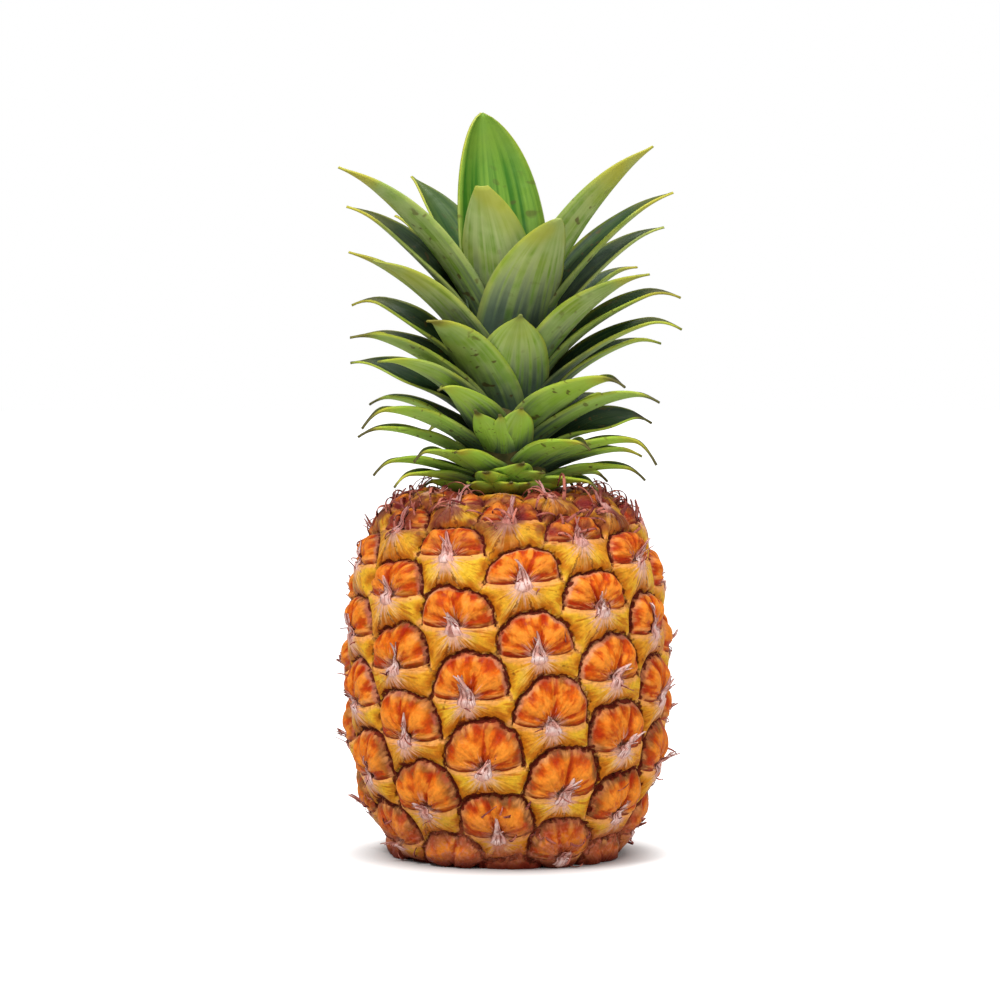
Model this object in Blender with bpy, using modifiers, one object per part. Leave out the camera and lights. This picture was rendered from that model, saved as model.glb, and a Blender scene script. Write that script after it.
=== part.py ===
"""A whole fresh pineapple with its crown of leaves, standing on its base.

Metres, +Z up. The origin is the middle of the base, on the surface that the fruit stands on.
Angles round the fruit are measured from the front (-Y), and grow towards +X.
"""

import math
import random

import bmesh
import bpy
import numpy as np
from mathutils import Vector

# The fruit's body: radius and height of points up its side, from the stalk to the crown
PROFILE = (
    (0.0123, 0.0040),
    (0.0240, 0.0026),
    (0.0340, -0.0004),
    (0.0400, -0.0008),
    (0.0441, 0.0012),
    (0.0464, 0.0055),
    (0.0493, 0.0120),
    (0.0532, 0.0200),
    (0.0574, 0.0310),
    (0.0600, 0.0450),
    (0.0612, 0.0620),
    (0.0613, 0.0770),
    (0.0605, 0.0920),
    (0.0582, 0.1085),
    (0.0546, 0.1205),
    (0.0498, 0.1295),
    (0.0430, 0.1368),
    (0.0350, 0.1403),
    (0.0265, 0.1401),
    (0.0190, 0.1384),
)
PROFILE_STEPS = 24
FOOT_POINT = 4
GAP = 0.0003

# The eyes: one fruitlet each, set on a spiral
TURN = math.radians(138.08)
EYE_WIDTH = 0.0281
ANCHOR_ANGLE = math.radians(11.0)
ANCHOR_HEIGHT = 0.0838
LOWEST_EYE_RADIUS = 0.0225
HIGHEST_EYE_RADIUS = 0.0235
TOP_SHRINK = 0.74
BOTTOM_SHRINK = 0.82
SHRINK_OVER = 0.040
INNER_SHRINK = 0.25

# One eye's relief, in metres at full size: a dome under an arch, and a bract below it
ARCH_HALF = 0.0151
ARCH_RISE = 0.0139
RISE_MORE = 0.0040
RISE_FROM = 0.106
RISE_OVER = 0.056
ARCH_POWER = 2.6
ARCH_SPAN = 0.0158
GROOVE_DEPTH = 0.0015
PILLOW_HEIGHT = 0.0036
PILLOW_EASE = 0.0024
KEEL_HEIGHT = 0.0010
KEEL_HALF = 0.0035
KEEL_LOW = -0.0045
KEEL_LENGTH = 0.0050
BRACT_OUT = 0.0026
BRACT_UP = 0.0046

# Where the skin of one eye is sampled: shares of its arch with the number of points on each, then
# points of the bract and of the wings beside and below it, in millimetres across and above
ARCH_POINTS = ((1.0, 9), (0.80, 7), (0.45, 3))
BRACT_POINTS = ((-2.1, 0.4), (2.1, 0.4), (0.0, 3.0), (0.0, -3.0))
WING_POINTS = (
    (-9.5, -3.5),
    (-5.0, -3.5),
    (5.0, -3.5),
    (9.5, -3.5),
    (-7.5, -8.5),
    (0.0, -8.5),
    (8.5, -8.5),
    (13.0, -5.0),
)

# Sockets for the stalk below and for the crown's stem above
STALK_RADIUS = 0.0120
STALK_CUT = 0.0030
STALK_TOP = 0.0100
STALK_EDGE = 0.0008
SOCKET_DEPTH = 0.0030
SOCKET_SIDES = 22
STALK_SIDES = 20

# How closely points of the skin may lie, in metres, and the rings round the sockets, in `up`
APART = 0.0019
RING_STEP = 0.20
RING_CLEAR = 1.35

# The crown: a tapering stem that carries the leaves
STEM_RADIUS = 0.0187
STEM_TOP = 0.2100
STEM_TOP_RADIUS = 0.0050
STEM_SIDES = 16
BLADE_THICKNESS = 0.0010
BLADE_TIP = 0.0009
BLADE_ROWS = 5
WIDE_BLADE = 0.0225
WIDE_COLUMNS = 3
SLIM_COLUMNS = 2

# Leaves: angle in degrees, and the tip's reach and height and the blade's width in millimetres
LEAVES = (
    (-157, 25, 290, 38),
    (-23, 28, 263, 34),
    (31, 39, 248, 37),
    (8, 35, 211, 33),
    (66, 61, 276, 31),
    (-75, 67, 269, 30),
    (-139, 58, 266, 28),
    (-97, 63, 255, 22),
    (100, 66, 260, 22),
    (-80, 62, 236, 20),
    (-60, 59, 233, 26),
    (112, 67, 247, 21),
    (60, 62, 228, 26),
    (-101, 62, 220, 19),
    (94, 68, 223, 19),
    (-41, 47, 211, 31),
    (88, 68, 211, 18),
    (-72, 63, 205, 22),
    (-118, 64, 206, 17),
    (112, 65, 203, 18),
    (-54, 61, 195, 23),
    (-104, 63, 194, 17),
    (50, 58, 188, 29),
    (-34, 49, 185, 23),
    (74, 61, 181, 22),
    (-19, 33, 175, 16),
    (8, 35, 176, 18),
    (-4, 29, 173, 15),
    (-118, 62, 179, 16),
    (-66, 61, 175, 20),
    (104, 59, 172, 17),
    (-86, 58, 167, 17),
    (42, 47, 163, 21),
    (70, 61, 162, 18),
    (-34, 37, 160, 20),
    (-55, 44, 159, 18),
    (95, 53, 158, 16),
    (5, 32, 155, 19),
    (-77, 53, 154, 15),
    (22, 34, 152, 17),
    (-17, 32, 152, 18),
    (83, 54, 151, 15),
    (-70, 47, 149, 14),
    (56, 43, 147, 15),
)

# Young upright leaves at the heart of the crown, in the same units
HEART_LEAVES = (
    (-150, 12, 250, 17),
    (-62, 12, 243, 16),
    (75, 9, 236, 15),
    (172, 16, 232, 18),
)

# Leaves behind, which continue the same spread round the back
BACK_LEAVES = 18
BACK_FROM = 122.0
BACK_SPAN = 116.0
BACK_STEP = 0.618
BACK_LOW = 0.148
BACK_HIGH = 0.258
BACK_REACH = 0.064
BACK_SHORTER = 0.22
BACK_VARY = (0.9, 1.04)
BACK_WIDTH = 0.016
BACK_WIDENS = 0.6
SEED = 7

# Short scooped leaves all round, low on the stem, that curve out over the fruit and then up
COLLAR_LEAVES = 10
COLLAR_STEP = 137.5
COLLAR_REACH = 0.0300
COLLAR_TIP = 0.1475
COLLAR_WIDTH = 0.018
COLLAR_VARY = 0.08

# How every leaf runs from its root in the stem to its tip
ROOT_LOW = 0.1435
ROOT_RISE = 0.375
LOWEST_TIP = 0.147
HIGHEST_TIP = 0.290
ROOT_SHARE = 0.4
ROOT_DEPTH = 0.003
BOW_EDGE = math.radians(12.0)
BOW_SWELL = math.radians(44.0)
BOW_REACH = 0.060
SCOOP = math.radians(26.0)
SCOOP_REACH = 0.044
SCOOP_OVER = 0.012
BEND_REACH = 0.52
CHANNEL_LOW = math.radians(52.0)
CHANNEL_HIGH = math.radians(46.0)
TIP_DROOP = 0.006
DROOP_POWER = 6
DROOP_RISE = 0.5
TAPER_LOW = 1.0
TAPER_HIGH = 0.70
BLADE_ROOT = 0.72
BLADE_SWELL = 1.70


def clear_scene():
    for thing in list(bpy.data.objects):
        bpy.data.objects.remove(thing)


def new_collection(name):
    made = bpy.data.collections.new(name)
    bpy.context.scene.collection.children.link(made)
    return made


def new_material(name, colour, roughness, specular=0.5):
    material = bpy.data.materials.new(name)
    material.use_nodes = True
    shader = material.node_tree.nodes["Principled BSDF"]
    shader.inputs["Base Color"].default_value = (*colour, 1.0)
    shader.inputs["Roughness"].default_value = roughness
    shader.inputs["Metallic"].default_value = 0.0
    shader.inputs["Specular IOR Level"].default_value = specular
    return material


def new_object(name, mesh, home, material=None):
    made = bpy.data.objects.new(name, mesh)
    home.objects.link(made)
    if material:
        mesh.materials.append(material)
    return made


def smooth_curve(points, steps):
    """A smooth line through the points, each stretch read at the same number of steps."""
    points = np.array(points)
    padded = np.vstack([2 * points[0] - points[1], points, 2 * points[-1] - points[-2]])
    t = np.linspace(0, 1, steps, endpoint=False)[:, None]
    runs = []
    for a, b, c, d in zip(padded, padded[1:], padded[2:], padded[3:]):
        runs.append(0.5 * (2 * b + (c - a) * t + (2 * a - 5 * b + 4 * c - d) * t**2
                           + (3 * b - a - 3 * c + d) * t**3))
    return np.vstack([*runs, points[-1:]])


class Body:
    """The fruit's turned surface, read by `up`: the distance up its side over the radius there."""

    def __init__(self):
        self.radius, self.height = smooth_curve(PROFILE, PROFILE_STEPS).T
        step = np.hypot(np.diff(self.radius), np.diff(self.height))
        middle = (self.radius[1:] + self.radius[:-1]) / 2
        self.up = np.concatenate([[0], np.cumsum(step / middle)])
        along = np.concatenate([[0], np.cumsum(step)])
        slope = np.gradient(self.radius, along), np.gradient(self.height, along)
        size = np.hypot(*slope)
        self.out, self.rise = slope[1] / size, -slope[0] / size
        size = self.eye_size(self.radius, self.height)
        each = (EYE_WIDTH * size) ** 2
        area = 2 * math.pi * middle * step / ((each[1:] + each[:-1]) / 2)
        self.count = np.concatenate([[0], np.cumsum(area)])

    @staticmethod
    def eye_size(radius, height):
        """Eyes shrink towards the crown and the base."""
        top = PROFILE[-1][1]
        near_top = np.clip((height - top + SHRINK_OVER) / SHRINK_OVER, 0, 1)
        near_base = np.clip((SHRINK_OVER - height) / SHRINK_OVER, 0, 1)
        inner = np.clip(1 - radius / PROFILE[FOOT_POINT][0], 0, 1) * INNER_SHRINK
        return 1 - (1 - TOP_SHRINK) * near_top**2 - (1 - BOTTOM_SHRINK) * near_base**2 - inner

    def place(self, angle, up, lift, slide=0.0):
        """Points at `angle` and `up`, lifted off the surface and slid up along it."""
        radius = np.interp(up, self.up, self.radius)
        height = np.interp(up, self.up, self.height)
        out = np.interp(up, self.up, self.out)
        rise = np.interp(up, self.up, self.rise)
        radius = radius + out * lift - rise * slide
        height = np.maximum(height + rise * lift + out * slide, 0)
        return np.stack([radius * np.sin(angle), -radius * np.cos(angle), height], axis=-1)


def eye_places(body):
    """Angle, place up the side, radius, size and arch of each eye, from the base to the crown."""
    side = body.radius > LOWEST_EYE_RADIUS
    base = body.count[np.argmax(side)]
    top_side = np.nonzero(body.radius > HIGHEST_EYE_RADIUS)[0][-1]
    upper = body.height > PROFILE[FOOT_POINT][1]
    anchor = np.interp(ANCHOR_HEIGHT, body.height[upper], body.count[upper])
    low = math.ceil(base - anchor)
    high = math.floor(body.count[top_side] - anchor)
    turns = np.arange(low, high + 1)
    up = np.interp(anchor + turns, body.count, body.up)
    radius = np.interp(up, body.up, body.radius)
    height = np.interp(up, body.up, body.height)
    rise = ARCH_RISE + RISE_MORE * np.clip((RISE_FROM - height) / RISE_OVER, 0, 1)
    return ANCHOR_ANGLE + turns * TURN, up, radius, body.eye_size(radius, height), rise


def arch_distance(across, above, rise):
    """Distance to the arch of an eye, or to the nearer end of it for points below."""
    reach = (np.abs(across / ARCH_HALF) ** ARCH_POWER
             + np.abs(above / rise) ** ARCH_POWER) ** (1 / ARCH_POWER)
    over = np.abs(1 - reach) * ARCH_SPAN
    corner = np.hypot(ARCH_HALF - np.abs(across), above)
    return np.where(above >= 0, over, corner)


def relief(body, eyes, angle, up):
    """Height of the skin over the turned surface: pillows between grooves, with a keel below each eye."""
    groove = np.full(len(angle), EYE_WIDTH)
    keel = np.zeros(len(angle))
    scale = np.full(len(angle), 1.0)
    for eye_angle, eye_up, radius, size, rise in zip(*eyes):
        turn = (angle - eye_angle + math.pi) % (2 * math.pi) - math.pi
        across = turn * radius / size
        above = (up - eye_up) * radius / size
        near = (np.abs(across) < EYE_WIDTH) & (np.abs(above) < EYE_WIDTH)
        distance = arch_distance(across, above, rise)
        closer = near & (distance < groove)
        groove[closer] = distance[closer]
        scale[closer] = size
        bump = np.exp(-((across / KEEL_HALF) ** 2) - ((above - KEEL_LOW) / KEEL_LENGTH) ** 2)
        keel[near] = np.maximum(keel[near], bump[near])
    pillow = PILLOW_HEIGHT * (1 - np.exp(-groove / PILLOW_EASE)) - GROOVE_DEPTH
    return scale * (pillow + KEEL_HEIGHT * keel)


def eye_samples(rise):
    """Points of one eye: its bract, its groove and dome, and the wings below."""
    found = [(across / 1000, above / 1000) for across, above in BRACT_POINTS]
    for share, count in ARCH_POINTS:
        for turn in np.linspace(0, math.pi, count):
            power = 2 / ARCH_POWER
            across = math.copysign(abs(math.cos(turn)) ** power, math.cos(turn))
            found.append((share * ARCH_HALF * across, share * rise * math.sin(turn) ** power))
    return found + [(across / 1000, above / 1000) for across, above in WING_POINTS]


def ring(sides, up):
    turns = np.linspace(0, 2 * math.pi, sides, endpoint=False)
    return np.column_stack([turns, np.full(sides, up)])


def skin_points(body, eyes):
    """Angle and place up the side of each point of the skin, and the size of the bract that rises there."""
    last = body.up[-1]
    rings = [ring(SOCKET_SIDES, up) for up in (0, RING_STEP, last - RING_STEP, last)]
    points = np.vstack([*rings, np.column_stack(eyes[:2])])
    bract = np.concatenate([np.zeros(len(rings) * SOCKET_SIDES), eyes[3]])
    samples = []
    for eye_angle, eye_up, radius, size, rise in zip(*eyes):
        for across, above in eye_samples(rise):
            samples.append((eye_angle + across * size / radius, eye_up + above * size / radius))
    samples = np.array(samples)
    clear = RING_STEP * RING_CLEAR
    samples = samples[(samples[:, 1] > clear) & (samples[:, 1] < last - clear)]
    kept = body.place(*points.T, 0.0)
    for sample, spot in zip(samples, body.place(*samples.T, 0.0)):
        if np.linalg.norm(kept - spot, axis=1).min() > APART:
            kept = np.vstack([kept, spot])
            points = np.vstack([points, sample])
    return points[:, 0], points[:, 1], np.concatenate([bract, np.zeros(len(points) - len(bract))])


def on_ball(angle, up, middle):
    """The points' places on a unit ball, which keeps the angles between them."""
    tilt = 2 * np.arctan(np.tanh((up - middle) / 2))
    return np.stack([np.cos(tilt) * np.sin(angle), -np.cos(tilt) * np.cos(angle), np.sin(tilt)], axis=-1)


def socket_points(radius, height, up, middle):
    """A socket's flat end: a ring and its centre, on the ball and in their real places."""
    turns, ups = ring(SOCKET_SIDES, up).T
    real = np.stack([radius * np.sin(turns), -radius * np.cos(turns), np.full(SOCKET_SIDES, height)], axis=-1)
    pole = math.copysign(1.0, up - middle)
    return (
        np.vstack([on_ball(turns, ups, middle), (0, 0, pole)]),
        np.vstack([real, (0, 0, height)]),
    )


def add_fruit(home, material):
    """The fruit: points on a ball joined by their hull, then moved to their real places on the skin."""
    body = Body()
    eyes = eye_places(body)
    angle, up, bract = skin_points(body, eyes)
    lift = relief(body, eyes, angle, up)
    lift[: 4 * SOCKET_SIDES] = 0.0
    middle = body.up[-1] / 2
    skin = (
        on_ball(angle, up, middle),
        body.place(angle, up, lift + BRACT_OUT * bract, BRACT_UP * bract),
    )
    below = socket_points(STALK_RADIUS + GAP, STALK_TOP + GAP, -RING_STEP, middle)
    above = socket_points(
        PROFILE[-1][0], PROFILE[-1][1] - SOCKET_DEPTH, body.up[-1] + RING_STEP, middle
    )
    places, real = (np.vstack(group) for group in zip(skin, below, above))

    shape = bmesh.new()
    for place in places:
        shape.verts.new(place)
    bmesh.ops.convex_hull(shape, input=shape.verts)
    shape.verts.index_update()
    for vertex in list(shape.verts):
        if vertex.link_faces:
            vertex.co = real[vertex.index]
        else:
            shape.verts.remove(vertex)
    mesh = bpy.data.meshes.new("fruit")
    shape.to_mesh(mesh)
    shape.free()
    mesh.shade_smooth()
    return new_object("fruit", mesh, home, material)


def add_stalk(home, material):
    """The cut end of the stalk that the fruit grew on, set in the middle of the base."""
    bpy.ops.mesh.primitive_cylinder_add(
        vertices=STALK_SIDES, radius=STALK_RADIUS, depth=STALK_TOP - STALK_CUT,
        location=(0, 0, (STALK_TOP + STALK_CUT) / 2),
    )
    stalk = bpy.context.object
    stalk.name = "stalk"
    for holder in list(stalk.users_collection):
        holder.objects.unlink(stalk)
    home.objects.link(stalk)
    stalk.data.materials.append(material)
    edge = stalk.modifiers.new("edge", "BEVEL")
    edge.width = STALK_EDGE
    edge.segments = 1
    return stalk


def leaf_rows():
    """Angle, tip reach, tip height and width of every leaf, in metres and radians."""
    rows = [(math.radians(a), r / 1000, z / 1000, w / 1000) for a, r, z, w in LEAVES + HEART_LEAVES]
    draw = random.Random(SEED)
    for number in range(BACK_LEAVES):
        share = number / (BACK_LEAVES - 1)
        angle = math.radians(BACK_FROM + BACK_SPAN * ((number * BACK_STEP) % 1))
        height = BACK_LOW + (BACK_HIGH - BACK_LOW) * share
        reach = BACK_REACH * draw.uniform(*BACK_VARY) * (1 - BACK_SHORTER * (1 - share) ** 2)
        rows.append((angle, reach, height, BACK_WIDTH * (1 + BACK_WIDENS * share)))
    for number in range(COLLAR_LEAVES):
        vary = draw.uniform(1 - COLLAR_VARY, 1 + COLLAR_VARY)
        rows.append((math.radians(COLLAR_STEP * number), COLLAR_REACH * vary, COLLAR_TIP, COLLAR_WIDTH))
    return rows


def leaf_sheet(shape, angle, reach, tip_height, width, columns, rows):
    """One leaf as an open sheet: a channelled blade that leaves the stem and arches outwards."""
    share = min(max((tip_height - LOWEST_TIP) / (HIGHEST_TIP - LOWEST_TIP), 0), 1)
    root_height = ROOT_LOW + ROOT_RISE * (tip_height - LOWEST_TIP)
    stem_share = (root_height - PROFILE[-1][1]) / (STEM_TOP - PROFILE[-1][1])
    stem = STEM_RADIUS + (STEM_TOP_RADIUS - STEM_RADIUS) * stem_share
    root = Vector((ROOT_SHARE * stem, root_height - ROOT_DEPTH))
    tip = Vector((reach, tip_height))
    run = tip - root
    bow = (BOW_EDGE + BOW_SWELL * share * (1 - share)) * reach / BOW_REACH
    bow -= SCOOP * (1 - share) ** 3 * min(max((SCOOP_REACH - reach) / SCOOP_OVER, 0), 1)
    pitch = math.atan2(run.y, run.x) + bow
    bend = root + BEND_REACH * run.length * Vector((math.cos(pitch), math.sin(pitch)))
    droop = TIP_DROOP * (1 - share) ** 2 * (reach / BOW_REACH) ** 2
    half_turn = CHANNEL_LOW + (CHANNEL_HIGH - CHANNEL_LOW) * share
    taper = TAPER_LOW + (TAPER_HIGH - TAPER_LOW) * share
    out = Vector((math.sin(angle), -math.cos(angle), 0))
    side = Vector((math.cos(angle), math.sin(angle), 0))
    made = bmesh.ops.create_grid(shape, x_segments=columns, y_segments=rows, size=1)["verts"]
    for vertex in made:
        across, t = vertex.co.x, (vertex.co.y + 1) / 2
        spine = (1 - t) ** 2 * root + 2 * t * (1 - t) * bend + t**2 * tip
        tangent = 2 * (1 - t) * (bend - root) + 2 * t * (tip - bend)
        spine.y -= droop * (t**DROOP_POWER - DROOP_RISE * t**2)
        tangent.y -= droop * (DROOP_POWER * t ** (DROOP_POWER - 1) - 2 * DROOP_RISE * t)
        tangent.normalize()
        normal = Vector((-tangent.y, tangent.x))
        blade = max(BLADE_TIP, width * (BLADE_ROOT + BLADE_SWELL * t) * (1 - t) ** taper)
        sway = blade / 2 * math.sin(across * half_turn) / math.sin(half_turn)
        rim = blade / 2 * (1 - math.cos(across * half_turn)) / math.sin(half_turn)
        spine += normal * rim
        vertex.co = out * spine.x + side * sway + Vector((0, 0, spine.y))
    return made


def add_blade(number, row, home):
    """One leaf as a thin solid, with both faces split alike."""
    shape = bmesh.new()
    columns = WIDE_COLUMNS if row[3] > WIDE_BLADE else SLIM_COLUMNS
    leaf_sheet(shape, *row, columns, BLADE_ROWS)
    bmesh.ops.triangulate(shape, faces=shape.faces)
    bmesh.ops.recalc_face_normals(shape, faces=shape.faces)
    mesh = bpy.data.meshes.new(f"blade_{number}")
    shape.to_mesh(mesh)
    shape.free()
    blade = new_object(mesh.name, mesh, home)
    wall = blade.modifiers.new("wall", "SOLIDIFY")
    wall.thickness = BLADE_THICKNESS
    wall.offset = 0
    return blade


def largest_island(mesh):
    """Drops sealed hollows and loose scraps, and keeps the one outer skin."""
    shape = bmesh.new()
    shape.from_mesh(mesh)
    unseen, islands = set(shape.verts), []
    while unseen:
        island, edge_of_it = set(), [unseen.pop()]
        while edge_of_it:
            vertex = edge_of_it.pop()
            island.add(vertex)
            for edge in vertex.link_edges:
                other = edge.other_vert(vertex)
                if other in unseen:
                    unseen.remove(other)
                    edge_of_it.append(other)
        islands.append(island)
    islands.sort(key=len)
    for island in islands[:-1]:
        bmesh.ops.delete(shape, geom=list(island), context="VERTS")
    shape.to_mesh(mesh)
    shape.free()


def add_crown(home, material):
    """The crown: leaves joined to their short stem in one solid."""
    foot = PROFILE[-1][1] - SOCKET_DEPTH + GAP
    bpy.ops.mesh.primitive_cone_add(
        vertices=STEM_SIDES, radius1=STEM_RADIUS - GAP, radius2=STEM_TOP_RADIUS,
        depth=STEM_TOP - foot, location=(0, 0, (STEM_TOP + foot) / 2),
    )
    stem = bpy.context.object
    blades = new_collection("blades")
    for number, row in enumerate(leaf_rows()):
        add_blade(number, row, blades)
    join = stem.modifiers.new("join", "BOOLEAN")
    join.operation = "UNION"
    join.operand_type = "COLLECTION"
    join.collection = blades
    join.solver = "MANIFOLD"
    graph = bpy.context.evaluated_depsgraph_get()
    mesh = bpy.data.meshes.new_from_object(stem.evaluated_get(graph))
    mesh.name = "crown"
    mesh.materials.clear()
    mesh.transform(stem.matrix_world)
    for helper in [stem, *blades.objects]:
        bpy.data.objects.remove(helper)
    bpy.data.collections.remove(blades)
    largest_island(mesh)
    mesh.shade_smooth()
    return new_object("crown", mesh, home, material)


def main():
    clear_scene()
    home = new_collection("pineapple")
    add_fruit(home, new_material("rind", (0.72, 0.36, 0.07), 0.45))
    add_stalk(home, new_material("stalk", (0.55, 0.42, 0.24), 0.85))
    add_crown(home, new_material("leaf", (0.20, 0.34, 0.09), 0.5))


main()
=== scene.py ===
import math
import random

import bmesh
import bpy
import numpy as np
from mathutils import Matrix, Vector


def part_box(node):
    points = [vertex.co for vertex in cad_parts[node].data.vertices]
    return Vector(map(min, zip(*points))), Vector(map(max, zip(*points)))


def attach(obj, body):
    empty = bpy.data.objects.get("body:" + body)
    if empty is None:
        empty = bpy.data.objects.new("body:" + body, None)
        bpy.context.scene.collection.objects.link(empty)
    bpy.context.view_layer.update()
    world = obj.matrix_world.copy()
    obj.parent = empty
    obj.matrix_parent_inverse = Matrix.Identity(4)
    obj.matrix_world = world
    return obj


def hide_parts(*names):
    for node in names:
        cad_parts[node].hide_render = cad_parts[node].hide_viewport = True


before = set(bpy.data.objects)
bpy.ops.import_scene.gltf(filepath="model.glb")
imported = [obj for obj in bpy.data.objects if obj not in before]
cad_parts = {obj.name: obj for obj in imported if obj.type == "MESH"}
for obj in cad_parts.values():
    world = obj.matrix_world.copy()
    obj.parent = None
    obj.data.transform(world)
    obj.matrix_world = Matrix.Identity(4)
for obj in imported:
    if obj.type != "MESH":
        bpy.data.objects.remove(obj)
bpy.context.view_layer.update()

# The view and the light
# The fruit stands on a white sweep under large soft lamps, seen level from far away
# through a long lens.
MM = 0.001
PHOTO_PX = 1000
PX_SIZE = 0.39 * MM
LENS = 135.0
SENSOR = 36.0
CAMERA_TILT = math.radians(3.0)
AIM = Vector((-0.0027, 0.0, 0.1383))
FAR = PHOTO_PX * PX_SIZE * LENS / SENSOR

ROOM_LIGHT = 0.38
WHITE = (1, 1, 1, 1)
FLOOR_WHITE = (0.60, 0.595, 0.59, 1)
FLOOR_HALF = 6.0
GLOW_FROM = 0.046
GLOW_TO = 0.074
LAMPS = (
    ("key", (-0.60, -0.85, 1.35), 0.45, 17.5),
    ("fill", (1.10, -0.9, 0.85), 0.5, 7.0),
    ("top", (0.15, 0.20, 1.45), 0.5, 10.0),
)

scene = bpy.context.scene
camera = bpy.data.objects.new("camera", bpy.data.cameras.new("camera"))
camera.data.lens = LENS
camera.data.sensor_width = SENSOR
camera.data.clip_end = 50.0
camera.location = AIM + FAR * Vector((0, -math.cos(CAMERA_TILT), math.sin(CAMERA_TILT)))
camera.rotation_euler = (math.pi / 2 - CAMERA_TILT, 0, 0)
scene.collection.objects.link(camera)
scene.camera = camera
scene.view_settings.view_transform = "Standard"


def put(tree, kind, inputs, out=0, **settings):
    """One shader node, its inputs joined or set, and the output that is used of it."""
    node = tree.nodes.new(kind)
    for key, value in settings.items():
        setattr(node, key, value)
    for key, value in inputs.items():
        if isinstance(value, bpy.types.NodeSocket):
            tree.links.new(value, node.inputs[key])
        else:
            node.inputs[key].default_value = value
    return node.outputs[out]


def sums(tree, operation, first, second=0.0, third=0.0):
    return put(tree, "ShaderNodeMath", {0: first, 1: second, 2: third}, operation=operation)


def times(tree, first, second):
    return sums(tree, "MULTIPLY", first, second)


def plus(tree, first, second):
    return sums(tree, "ADD", first, second)


world = bpy.data.worlds.new("white room")
world.use_nodes = True
room = world.node_tree
seen = put(room, "ShaderNodeLightPath", {}, out="Is Camera Ray")
brightness = put(room, "ShaderNodeMapRange", {"Value": seen, "To Min": ROOM_LIGHT})
backdrop = room.nodes["Background"]
backdrop.inputs["Color"].default_value = WHITE
room.links.new(brightness, backdrop.inputs["Strength"])
scene.world = world

for name, place, size, power in LAMPS:
    lamp = bpy.data.objects.new(name, bpy.data.lights.new(name, "AREA"))
    lamp.data.size = size
    lamp.data.energy = power
    lamp.location = place
    lamp.rotation_euler = (AIM - Vector(place)).to_track_quat("-Z", "Y").to_euler()
    scene.collection.objects.link(lamp)

floor_shape = bmesh.new()
bmesh.ops.create_grid(floor_shape, x_segments=1, y_segments=1, size=FLOOR_HALF)
floor_mesh = bpy.data.meshes.new("floor")
floor_shape.to_mesh(floor_mesh)
floor_shape.free()
floor = bpy.data.objects.new("floor", floor_mesh)
scene.collection.objects.link(floor)
floor_finish = bpy.data.materials.new("white floor")
floor_finish.use_nodes = True
glowing = floor_finish.node_tree
floor_shader = glowing.nodes["Principled BSDF"]
floor_shader.inputs["Base Color"].default_value = FLOOR_WHITE
floor_shader.inputs["Roughness"].default_value = 0.6
floor_shader.inputs["Emission Color"].default_value = WHITE
away = put(glowing, "ShaderNodeTexCoord", {}, out="Object")
away = put(glowing, "ShaderNodeVectorMath", {0: away}, out="Value", operation="LENGTH")
glow = put(glowing, "ShaderNodeMapRange", {"Value": away, "From Min": GLOW_FROM, "From Max": GLOW_TO})
seen = put(glowing, "ShaderNodeLightPath", {}, out="Is Camera Ray")
glowing.links.new(times(glowing, glow, seen), floor_shader.inputs["Emission Strength"])
floor_mesh.materials.append(floor_finish)

# The rind
# One skin, grown from 92 flowers set on a spiral. Each flower leaves an eye: an orange dome
# of three sepals under an arched groove, over the yellow foot of its own bract.
PROFILE = (
    (0.0123, 0.0040),
    (0.0240, 0.0026),
    (0.0340, -0.0004),
    (0.0400, -0.0008),
    (0.0441, 0.0012),
    (0.0464, 0.0055),
    (0.0493, 0.0120),
    (0.0532, 0.0200),
    (0.0574, 0.0310),
    (0.0600, 0.0450),
    (0.0612, 0.0620),
    (0.0613, 0.0770),
    (0.0605, 0.0920),
    (0.0582, 0.1085),
    (0.0546, 0.1205),
    (0.0498, 0.1295),
    (0.0430, 0.1368),
    (0.0350, 0.1403),
    (0.0265, 0.1401),
    (0.0190, 0.1384),
)
PROFILE_STEPS = 24
FOOT_POINT = 4
TURN = math.radians(138.08)
EYE_WIDTH = 0.0281
ANCHOR_ANGLE = math.radians(11.0)
ANCHOR_HEIGHT = 0.0838
LOWEST_EYE_RADIUS = 0.0225
HIGHEST_EYE_RADIUS = 0.0235
TOP_SHRINK = 0.74
BOTTOM_SHRINK = 0.82
SHRINK_OVER = 0.040
INNER_SHRINK = 0.25
ARCH_HALF = 0.0151
ARCH_RISE = 0.0139
RISE_MORE = 0.0040
RISE_FROM = 0.106
RISE_OVER = 0.056
ARCH_POWER = 2.6
ARCH_SPAN = 0.0158
GROOVE_DEPTH = 0.0015
PILLOW_HEIGHT = 0.0036
PILLOW_EASE = 0.0024
EYE_SEED = 3


def smooth_curve(points, steps):
    """A smooth line through the points, each stretch read at the same number of steps."""
    points = np.array(points)
    padded = np.vstack([2 * points[0] - points[1], points, 2 * points[-1] - points[-2]])
    t = np.linspace(0, 1, steps, endpoint=False)[:, None]
    runs = []
    for a, b, c, d in zip(padded, padded[1:], padded[2:], padded[3:]):
        runs.append(0.5 * (2 * b + (c - a) * t + (2 * a - 5 * b + 4 * c - d) * t**2
                           + (3 * b - a - 3 * c + d) * t**3))
    return np.vstack([*runs, points[-1:]])


def eye_size(radius, height):
    """Eyes shrink towards the crown and the base."""
    near_top = np.clip((height - PROFILE[-1][1] + SHRINK_OVER) / SHRINK_OVER, 0, 1)
    near_base = np.clip((SHRINK_OVER - height) / SHRINK_OVER, 0, 1)
    inner = np.clip(1 - radius / PROFILE[FOOT_POINT][0], 0, 1) * INNER_SHRINK
    return 1 - (1 - TOP_SHRINK) * near_top**2 - (1 - BOTTOM_SHRINK) * near_base**2 - inner


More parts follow.
